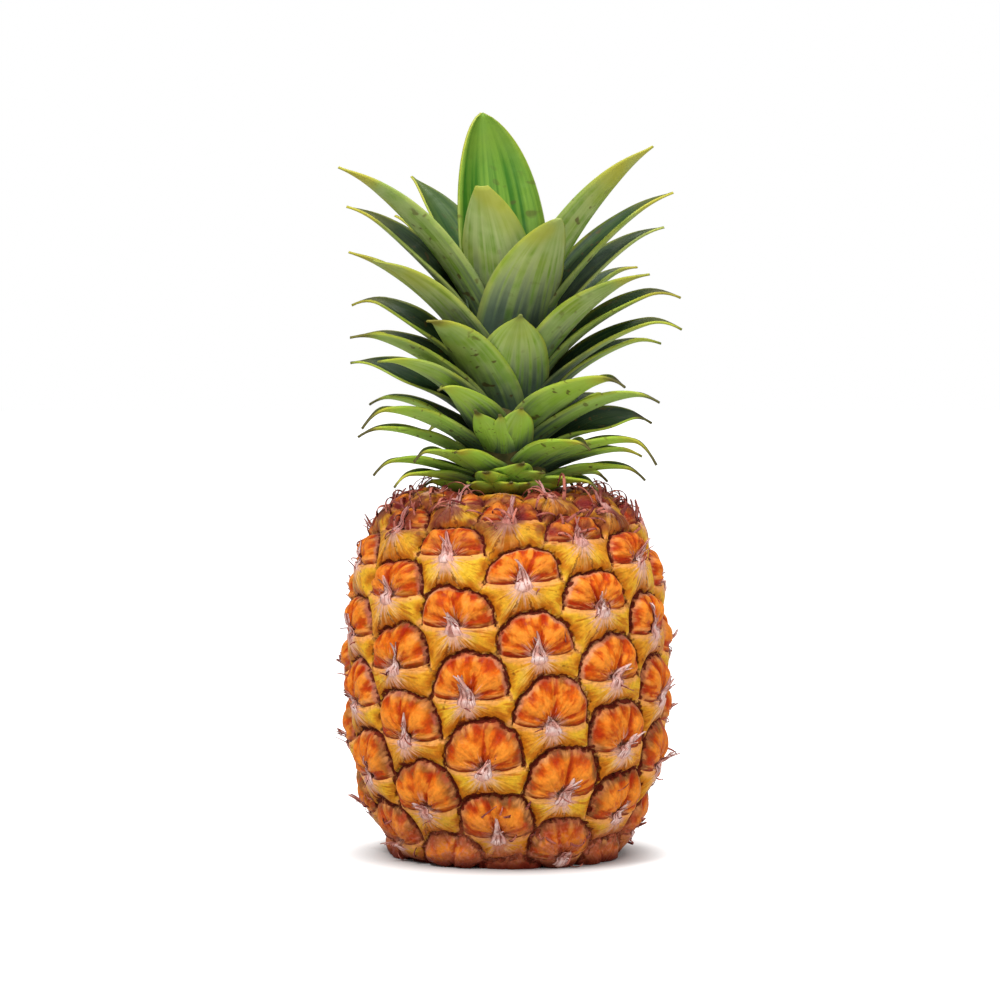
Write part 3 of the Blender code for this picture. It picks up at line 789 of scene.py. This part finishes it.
def make_tongue_finish():
    finish, tree, shader, place = new_finish("papery bract", 0.7, 0.2)
    patches, grain = use_mottle(tree, place, 0.0035)
    across, along, chance = (value_of(tree, name) for name in ("across", "along", "chance"))
    lines, line_height = use_fibres(tree, across, times(tree, along, 1.2), 1.6, chance)
    colour = tint(tree, patches, PAPER_ROSE, PAPER_PALE)
    edges = between(tree, sums(tree, "ABSOLUTE", across), 0.6, 1.0, 0.0, 0.6)
    brown = times(tree, between(tree, along, 0.75, 1.0), between(tree, chance, 0.3, 0.9, 0.0, 0.7))
    height = put(tree, "ShaderNodeSeparateXYZ", {0: place}, out="Z")
    colour = layered(tree, colour, (
        (edges, PAPER_EDGE),
        (between(tree, lines, 0.50, 0.62, 0.0, 0.85), PAPER_SLIT),
        (brown, PAPER_BROWN),
        (between(tree, along, 0.20, 0.0, 0.0, 0.7), FIBRE_PINK),
        (between(tree, height, 0.116, 0.134, 0.0, 0.6), PAPER_PURPLE),
    ))
    tree.links.new(colour, shader.inputs["Base Color"])
    bumped(tree, shader, plus(tree, grain, line_height), 0.6, 0.0005)
    return finish


def give_wall(piece, thickness, material_offset=0):
    wall = piece.modifiers.new("wall", "SOLIDIFY")
    wall.thickness = thickness
    wall.offset = 0
    wall.material_offset = material_offset


tongues = finished("bract_tips", make_tongues(), make_tongue_finish())
give_wall(tongues, TONGUE_WALL)
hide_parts("fruit")
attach(tongues, "root")

# The dried threads
# Old flower parts and bract edges that have dried to thin curling ribbons. They hang on at the
# middle of many eyes, and lie in loops on the shoulder and round the base.
THREAD_ROWS = 12
THREAD_WALL = 0.00025
THREAD_KINDS = {
    "eye": (2, (0.0030, 0.0075), (0.00022, 0.00045), (-1.0, 3.0)),
    "shoulder": (6, (0.0120, 0.0250), (0.00036, 0.00085), (3.0, 6.2)),
    "base": (6, (0.0040, 0.0100), (0.00030, 0.00065), (1.0, 4.5)),
}
SHOULDER_FROM = 0.123
BASE_BELOW = 0.020
THREAD_SEED = 41
MIDDLE_LOW = -0.001
MIDDLE_SPREAD = (0.0022, 0.0020)
STRAY_SHARE = 0.2
STRAY_ACROSS = 0.013
STRAY_UP = (-0.008, 0.012)
THREAD_SINK = 0.0004
THREAD_HEADING = 2.2
THREAD_DRIFT = 1.2
THREAD_LIFT = (0.4, 1.2)
THREAD_TAPER = 0.75
THREAD_COLOURS = ((0.17, 0.020, 0.022), (0.62, 0.200, 0.140), (0.07, 0.020, 0.012))


def make_threads():
    """Ribbons that leave the rind near an eye's middle and curl over by chance."""
    draw = random.Random(THREAD_SEED)
    starts = []
    for eye_angle, eye_up, radius, size, height in tipped_eyes():
        kind = "shoulder" if height > SHOULDER_FROM else "base" if height < BASE_BELOW else "eye"
        number, length, half, curl = THREAD_KINDS[kind]
        for _ in range(number):
            spot = draw.gauss(0, MIDDLE_SPREAD[0]), draw.gauss(MIDDLE_LOW, MIDDLE_SPREAD[1])
            if kind != "eye" or draw.random() < STRAY_SHARE:
                spot = draw.uniform(-STRAY_ACROSS, STRAY_ACROSS), draw.uniform(*STRAY_UP)
            starts.append((eye_angle + spot[0] * size / radius, eye_up + spot[1] * size / radius,
                           draw.uniform(*length), draw.uniform(*half), draw.uniform(*curl)))
    angle, up, length, half, curl = np.array(starts).T
    relief = eye_fields(angle, up)[0]
    tiny = 1e-3
    here = on_side(angle, up, relief - THREAD_SINK)
    out = on_side(angle, up, relief + tiny) - on_side(angle, up, relief)
    rise = on_side(angle, up + tiny, relief) - on_side(angle, up, relief)
    shape = bmesh.new()
    for start, normal, above, long, wide, turn in zip(here, out, rise, length, half, curl):
        normal, above = Vector(normal).normalized(), Vector(above).normalized()
        side = above.cross(normal)
        heading = draw.uniform(-THREAD_HEADING, THREAD_HEADING)
        drift = draw.uniform(-THREAD_DRIFT, THREAD_DRIFT)
        lift = draw.uniform(*THREAD_LIFT)
        made = bmesh.ops.create_grid(shape, x_segments=1, y_segments=THREAD_ROWS, size=1)["verts"]
        spine, flats = [Vector(start)], []
        for row in range(THREAD_ROWS + 1):
            share = row / THREAD_ROWS
            ahead = above * math.cos(heading + drift * share) + side * math.sin(heading + drift * share)
            flats.append(ahead.cross(normal))
            bearing = lift - turn * share**1.3
            step = ahead * math.cos(bearing) + normal * math.sin(bearing)
            spine.append(spine[-1] + step * long / THREAD_ROWS)
        for vertex in made:
            row = round((vertex.co.y + 1) / 2 * THREAD_ROWS)
            width = wide * (1 - THREAD_TAPER * row / THREAD_ROWS)
            vertex.co = spine[row] + flats[row] * vertex.co.x * width
            vertex.co.z = max(vertex.co.z, THREAD_WALL)
    return shape


def dull_finish(name, roughness, specular, size, colours, spots_from=0.0, relief=0.0):
    """Patches of two colours, and spots of a third, where one is given, in the grain."""
    finish, tree, shader, place = new_finish(name, roughness, specular)
    patches, grain = use_mottle(tree, place, size)
    colour = tint(tree, patches, *colours[:2])
    for spot in colours[2:]:
        colour = tint(tree, between(tree, grain, spots_from, 0.7), colour, spot)
    tree.links.new(colour, shader.inputs["Base Color"])
    if relief:
        bumped(tree, shader, grain, relief, 0.0005)
    return finish


thread_finish = dull_finish("dried thread", 0.8, 0.2, 0.007, THREAD_COLOURS, 0.5)
threads = finished("dried_threads", make_threads(), thread_finish)
give_wall(threads, THREAD_WALL)
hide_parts("fruit")
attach(threads, "root")

# The stalk
# The woody stem that the fruit grew on, cut off level just inside the base, with a pale
# fibrous face and a darker skin.
STALK_SIDES = 48
STALK_RINGS = 7
STALK_SEED = 5
STALK_ROUGH = 0.0006
STALK_BARK = 0.95
WOOD_COLOURS = ((0.42, 0.27, 0.12), (0.66, 0.50, 0.28), (0.22, 0.12, 0.05))


def make_stalk():
    low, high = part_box("stalk")
    radius = (high[0] - low[0]) / 2
    shape = bmesh.new()
    bmesh.ops.create_cone(shape, cap_ends=True, segments=STALK_SIDES, radius1=radius, radius2=radius,
                          depth=high[2] - low[2], matrix=Matrix.Translation((0, 0, (low[2] + high[2]) / 2)))
    for _ in range(STALK_RINGS):
        caps = [f for f in shape.faces if len(f.verts) > 4]
        bmesh.ops.inset_region(shape, faces=caps, thickness=radius / (STALK_RINGS + 1))
    draw = random.Random(STALK_SEED)
    for vertex in shape.verts:
        if vertex.co.z < low[2] + 1e-5 and vertex.co.xy.length < radius * STALK_BARK:
            vertex.co.z += draw.uniform(0, STALK_ROUGH)
    return shape


stalk_finish = dull_finish("cut stalk", 0.85, 0.2, 0.003, WOOD_COLOURS, 0.55, 0.6)
stalk = finished("cut_stalk", make_stalk(), stalk_finish)
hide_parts("stalk")
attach(stalk, "root")

# The crown
# A short stem packed with tough channelled leaves, spiralling from short spreading ones at
# the fruit to long upright ones in the middle. The outside of each is bloomy, the inside green.
STEM_RADIUS = 0.0187
STEM_TOP = 0.2100
STEM_TOP_RADIUS = 0.0050
STEM_SIDES = 32
STEM_COLOURS = ((0.05, 0.06, 0.015), (0.16, 0.13, 0.04))
BLADE_TIP = 0.0009
LEAVES = (
    (-157, 25, 290, 38),
    (-23, 28, 263, 34),
    (31, 39, 248, 37),
    (8, 35, 211, 33),
    (66, 61, 276, 31),
    (-75, 67, 269, 30),
    (-139, 58, 266, 28),
    (-97, 63, 255, 22),
    (100, 66, 260, 22),
    (-80, 62, 236, 20),
    (-60, 59, 233, 26),
    (112, 67, 247, 21),
    (60, 62, 228, 26),
    (-101, 62, 220, 19),
    (94, 68, 223, 19),
    (-41, 47, 211, 31),
    (88, 68, 211, 18),
    (-72, 63, 205, 22),
    (-118, 64, 206, 17),
    (112, 65, 203, 18),
    (-54, 61, 195, 23),
    (-104, 63, 194, 17),
    (50, 58, 188, 29),
    (-34, 49, 185, 23),
    (74, 61, 181, 22),
    (-19, 33, 175, 16),
    (8, 35, 176, 18),
    (-4, 29, 173, 15),
    (-118, 62, 179, 16),
    (-66, 61, 175, 20),
    (104, 59, 172, 17),
    (-86, 58, 167, 17),
    (42, 47, 163, 21),
    (70, 61, 162, 18),
    (-34, 37, 160, 20),
    (-55, 44, 159, 18),
    (95, 53, 158, 16),
    (5, 32, 155, 19),
    (-77, 53, 154, 15),
    (22, 34, 152, 17),
    (-17, 32, 152, 18),
    (83, 54, 151, 15),
    (-70, 47, 149, 14),
    (56, 43, 147, 15),
)
HEART_LEAVES = (
    (-150, 12, 250, 17),
    (-62, 12, 243, 16),
    (75, 9, 236, 15),
    (172, 16, 232, 18),
)
BACK_LEAVES = 18
BACK_FROM = 122.0
BACK_SPAN = 116.0
BACK_STEP = 0.618
BACK_LOW = 0.148
BACK_HIGH = 0.258
BACK_REACH = 0.064
BACK_SHORTER = 0.22
BACK_VARY = (0.9, 1.04)
BACK_WIDTH = 0.016
BACK_WIDENS = 0.6
BACK_SEED = 7
COLLAR_LEAVES = 10
COLLAR_STEP = 137.5
COLLAR_REACH = 0.0300
COLLAR_TIP = 0.1475
COLLAR_WIDTH = 0.018
COLLAR_VARY = 0.08
ROOT_LOW = 0.1435
ROOT_RISE = 0.375
LOWEST_TIP = 0.147
HIGHEST_TIP = 0.290
ROOT_SHARE = 0.4
ROOT_DEPTH = 0.003
BOW_EDGE = math.radians(12.0)
BOW_SWELL = math.radians(44.0)
BOW_REACH = 0.060
SCOOP = math.radians(26.0)
SCOOP_REACH = 0.044
SCOOP_OVER = 0.012
BEND_REACH = 0.52
CHANNEL_LOW = math.radians(52.0)
CHANNEL_HIGH = math.radians(46.0)
TIP_DROOP = 0.006
DROOP_POWER = 6
DROOP_RISE = 0.5
TAPER_LOW = 1.0
TAPER_HIGH = 0.70
SPINE = 0.84
SPINE_REACH = 0.11
WIDE_LEAF = 0.038
NARROWER = 0.006
CUT_TIPS = {1: 0.955, 2: 0.99}
BLADE_ROOT = 0.72
BLADE_SWELL = 1.70

LEAF_COLUMNS = 12
LEAF_ROWS = 40
LEAF_WALL = 0.0009
LEAF_SEED = 29
LEAN = 0.0016
LEAN_POWER = 2.5
HOOK = (0.0010, 0.0085)
HOOK_FROM = 0.84
HOOK_OVER = 0.16
HOOK_EASE = 0.7
WAVE = 0.0006
WAVES = 9
TWISTED = {7: 0.30, 8: 0.26, 11: 0.34, 13: 0.42, 14: 0.30, 16: 0.42, 18: 0.40, 21: 0.80, 30: 0.85}
TWIST_FROM = 0.15
TWIST_OVER = 0.60


def leaf_rows():
    """Angle, tip reach, tip height and width of every leaf, in metres and radians."""
    rows = [(math.radians(a), r / 1000, z / 1000, w / 1000) for a, r, z, w in LEAVES + HEART_LEAVES]
    draw = random.Random(BACK_SEED)
    for number in range(BACK_LEAVES):
        share = number / (BACK_LEAVES - 1)
        angle = math.radians(BACK_FROM + BACK_SPAN * ((number * BACK_STEP) % 1))
        height = BACK_LOW + (BACK_HIGH - BACK_LOW) * share
        reach = BACK_REACH * draw.uniform(*BACK_VARY) * (1 - BACK_SHORTER * (1 - share) ** 2)
        rows.append((angle, reach, height, BACK_WIDTH * (1 + BACK_WIDENS * share)))
    for number in range(COLLAR_LEAVES):
        vary = draw.uniform(1 - COLLAR_VARY, 1 + COLLAR_VARY)
        rows.append((math.radians(COLLAR_STEP * number), COLLAR_REACH * vary, COLLAR_TIP, COLLAR_WIDTH))
    return rows


def clamped(share):
    return min(max(share, 0), 1)


def tip_share(tip_height):
    """Where a tip lies between the lowest one, 0, and the highest, 1."""
    return clamped((tip_height - LOWEST_TIP) / (HIGHEST_TIP - LOWEST_TIP))


def leaf_sheet(shape, angle, reach, tip_height, width, end, twist):
    """One leaf as an open sheet: a channelled blade that leaves the stem and arches outwards.

    It may end short of its tip, and twist about its own line. With its points come their places
    across and along it.
    """
    share = tip_share(tip_height)
    root_height = ROOT_LOW + ROOT_RISE * (tip_height - LOWEST_TIP)
    stem_share = (root_height - PROFILE[-1][1]) / (STEM_TOP - PROFILE[-1][1])
    stem = STEM_RADIUS + (STEM_TOP_RADIUS - STEM_RADIUS) * stem_share
    root = Vector((ROOT_SHARE * stem, root_height - ROOT_DEPTH))
    tip = Vector((reach, tip_height))
    run = tip - root
    bow = (BOW_EDGE + BOW_SWELL * share * (1 - share)) * reach / BOW_REACH
    bow -= SCOOP * (1 - share) ** 3 * clamped((SCOOP_REACH - reach) / SCOOP_OVER)
    pitch = math.atan2(run.y, run.x) + bow
    bend = root + BEND_REACH * run.length * Vector((math.cos(pitch), math.sin(pitch)))
    droop = TIP_DROOP * (1 - share) ** 2 * (reach / BOW_REACH) ** 2
    half_turn = CHANNEL_LOW + (CHANNEL_HIGH - CHANNEL_LOW) * share
    taper = TAPER_LOW + (TAPER_HIGH - TAPER_LOW) * share
    spine_share = SPINE * clamped((WIDE_LEAF - width) / NARROWER)
    out = Vector((math.sin(angle), -math.cos(angle), 0))
    side = Vector((math.cos(angle), math.sin(angle), 0))
    up = Vector((0, 0, 1))
    made = bmesh.ops.create_grid(shape, x_segments=LEAF_COLUMNS, y_segments=LEAF_ROWS, size=1)["verts"]
    places = [(vertex.co.x, (vertex.co.y + 1) / 2) for vertex in made]
    for vertex, (across, along) in zip(made, places):
        t = along * end
        spine = (1 - t) ** 2 * root + 2 * t * (1 - t) * bend + t**2 * tip
        tangent = 2 * (1 - t) * (bend - root) + 2 * t * (tip - bend)
        spine.y -= droop * (t**DROOP_POWER - DROOP_RISE * t**2)
        tangent.y -= droop * (DROOP_POWER * t ** (DROOP_POWER - 1) - 2 * DROOP_RISE * t)
        tangent.normalize()
        normal = Vector((-tangent.y, tangent.x))
        blade = width * (BLADE_ROOT + BLADE_SWELL * t) * (1 - t) ** taper
        blade = max(BLADE_TIP, blade * (1 - spine_share * math.exp((t - 1) / SPINE_REACH)))
        sway = blade / 2 * math.sin(across * half_turn) / math.sin(half_turn)
        rim = blade / 2 * (1 - math.cos(across * half_turn)) / math.sin(half_turn)
        turned = clamped((t - TWIST_FROM) / TWIST_OVER)
        turned = twist * turned**2 * (3 - 2 * turned)
        inward = out * normal.x + up * normal.y
        vertex.co = (out * spine.x + up * spine.y
                     + (side * math.cos(turned) - inward * math.sin(turned)) * sway
                     + (inward * math.cos(turned) + side * math.sin(turned)) * rim)
    return made, places


def make_leaves():
    """Every leaf as a sheet, and for each point its place across and along it, chance and share."""
    shape = bmesh.new()
    values = []
    draw = random.Random(LEAF_SEED)
    for number, row in enumerate(leaf_rows()):
        angle, share, chance = row[0], tip_share(row[2]), draw.random()
        twist = -TWISTED.get(number, 0.0) * math.sin(angle)
        blade, places = leaf_sheet(shape, *row, CUT_TIPS.get(number, 1.0), twist)
        values += [(*place, chance, share) for place in places]
        side = Vector((math.cos(angle), math.sin(angle), 0))
        lean = draw.gauss(0, LEAN) * (1 - share)
        hook = draw.uniform(*HOOK) * (1 - HOOK_EASE * share) * math.sin(angle) ** 2
        wave = draw.uniform(0, ROUND)
        for vertex, (across, t) in zip(blade, places):
            vertex.co += side * lean * t**LEAN_POWER
            vertex.co.z -= hook * max((t - HOOK_FROM) / HOOK_OVER, 0) ** 2
            vertex.co.z += WAVE * across * math.sin(WAVES * t + wave) * t * (1 - t) * 4
    return shape, np.array(values)


OUTSIDE_PALE = (0.45, 0.54, 0.21)
OUTSIDE_GREEN = (0.165, 0.305, 0.026)
OUTSIDE_BLUE_SHADE = (0.042, 0.080, 0.068)
LOW_GREEN = (0.440, 0.760, 0.075)
INSIDE_GREEN = (0.035, 0.165, 0.004)
INSIDE_LIGHT = (0.20, 0.38, 0.035)
INSIDE_DARK = (0.006, 0.013, 0.012)
MARGIN_YELLOW = (0.40, 0.42, 0.014)
TIP_YELLOW = (0.56, 0.45, 0.045)
TIP_BROWN = (0.045, 0.034, 0.020)
CRACK_BROWN = (0.09, 0.055, 0.012)


def make_leaf_finish(name, inside):
    finish, tree, shader, place = new_finish(name, 0.5 if inside else 0.6, 0.25)
    names = ("across", "along", "chance", "share")
    across, along, chance, share = (value_of(tree, name) for name in names)
    lines, line_height = use_fibres(tree, across, along, 7.0, chance)
    calm = between(tree, along, 0.95, 0.55, 0.1, 1.0)
    lines = sums(tree, "MULTIPLY_ADD", sums(tree, "SUBTRACT", lines, 0.5), calm, 0.5)
    patches, _ = use_mottle(tree, place, 0.007)
    broad, _ = use_mottle(tree, place, 0.024)
    side = sums(tree, "ABSOLUTE", across)
    # The inside is green and darkest deep down and on low leaves, partly painted shade. The outside is
    # bloomy, blue at its foot and darkened there with painted shade, and bright on low leaves, partly
    # painted light.
    if inside:
        colour = tint(tree, between(tree, lines, 0.36, 0.66), INSIDE_GREEN, INSIDE_LIGHT)
        # Painted shade over the dark green pigment: darker on low leaves and deep down towards the foot.
        colour = tint(tree, between(tree, share, 0.99, 0.75, 0.0, 0.88), colour, INSIDE_DARK)
        colour = tint(tree, between(tree, along, 0.65, 0.15, 0.0, 0.85), colour, INSIDE_DARK)
    else:
        colour = tint(tree, between(tree, lines, 0.38, 0.62), OUTSIDE_PALE, OUTSIDE_GREEN)
        colour = tint(tree, between(tree, chance, 0.2, 1.0, 0.0, 0.65), colour, OUTSIDE_GREEN)
        colour = tint(tree, times(tree, patches, 0.50), colour, OUTSIDE_PALE)
        upper = times(tree, between(tree, along, 0.35, 0.90),
                     between(tree, broad, 0.1, 0.9, 0.05, 0.60))
        colour = tint(tree, upper, colour, MARGIN_YELLOW)
        # Brighter yellow-green on low leaves: partly their own colour, partly painted light.
        low = between(tree, along, 0.2, 0.7, 0.35, 0.9)
        low = times(tree, between(tree, share, 0.6, 0.1), low)
        low = times(tree, low, between(tree, broad, 0.0, 1.0, 0.6, 1.0))
        colour = tint(tree, low, colour, LOW_GREEN)
        # Blue-grey bloom at the foot, darkened as painted shade.
        foot = plus(tree, along, between(tree, lines, 0.35, 0.65, -0.10, 0.10))
        foot = plus(tree, foot, between(tree, share, 0.35, 0.0, 0.0, 0.12))
        foot = plus(tree, foot, between(tree, chance, 0.0, 1.0, -0.12, 0.12))
        foot = between(tree, foot, 0.62, 0.20)
        colour = tint(tree, times(tree, foot, 0.9), colour, OUTSIDE_BLUE_SHADE)

    # A yellow edge, dry cracks, and a tip that yellows with age and withers brown
    margin = times(tree, between(tree, side, 0.80, 1.0), between(tree, along, 0.1, 0.6, 0.1, 0.7))
    margin = times(tree, margin, between(tree, share, 0.4, 0.9, 0.6 if inside else 1.0, 0.45))
    margin = times(tree, margin, between(tree, patches, 0.1, 0.9, 0.5, 1.0))
    crack_place = {0: times(tree, across, 2.0), 1: times(tree, along, 16.0), 2: chance}
    crack_place = put(tree, "ShaderNodeCombineXYZ", crack_place)
    cracks = between(tree, noise(tree, crack_place, 1.6, 1.0, 0.5), 0.64, 0.72)
    cracks = times(tree, cracks, between(tree, chance, 0.25, 0.8, 0.15, 0.8))
    cracks = times(tree, cracks, between(tree, along, 0.85, 0.60))
    worn = plus(tree, along, between(tree, broad, 0.0, 1.0, -0.05, 0.06))
    yellowed = 0.1
    if not inside:
        yellowed = sums(tree, "MAXIMUM", between(tree, chance, 0.3, 0.9, 0.12, 0.6),
                        between(tree, share, 0.35, 0.15, 0.0, 0.7))
    worn = times(tree, between(tree, worn, 0.78, 0.97), yellowed)
    thin = plus(tree, along, between(tree, chance, 0.0, 1.0, -0.05, 0.05))
    thin = times(tree, between(tree, thin, 0.89, 0.98), between(tree, share, 0.70, 0.30, 0.0, 0.85))
    colour = layered(tree, colour, (
        (margin, MARGIN_YELLOW),
        (cracks, CRACK_BROWN),
        (worn, TIP_YELLOW),
        (thin, TIP_BROWN),
    ))
    tree.links.new(colour, shader.inputs["Base Color"])
    height = times(tree, line_height, between(tree, along, 0.95, 0.35))
    height = plus(tree, height, times(tree, patches, 0.3))
    bumped(tree, shader, height, 0.6, 0.0008)
    return finish


sheets, values = make_leaves()
leaves = finished("crown_leaves", sheets, make_leaf_finish("leaf outside", False),
                  make_leaf_finish("leaf inside", True))
for name, column in zip(("across", "along", "chance", "share"), values.T):
    write_values(leaves.data, name, column)
give_wall(leaves, LEAF_WALL, 1)
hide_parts("crown")
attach(leaves, "root")


def make_stem():
    shape = bmesh.new()
    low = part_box("crown")[0][2]
    bmesh.ops.create_cone(shape, cap_ends=True, segments=STEM_SIDES, radius1=STEM_RADIUS - SOCKET_GAP,
                          radius2=STEM_TOP_RADIUS, depth=STEM_TOP - low,
                          matrix=Matrix.Translation((0, 0, (STEM_TOP + low) / 2)))
    return shape


stem_finish = dull_finish("crown stem", 0.8, 0.3, 0.005, STEM_COLOURS, relief=0.4)
stem = finished("crown_stem", make_stem(), stem_finish)
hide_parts("crown")
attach(stem, "root")
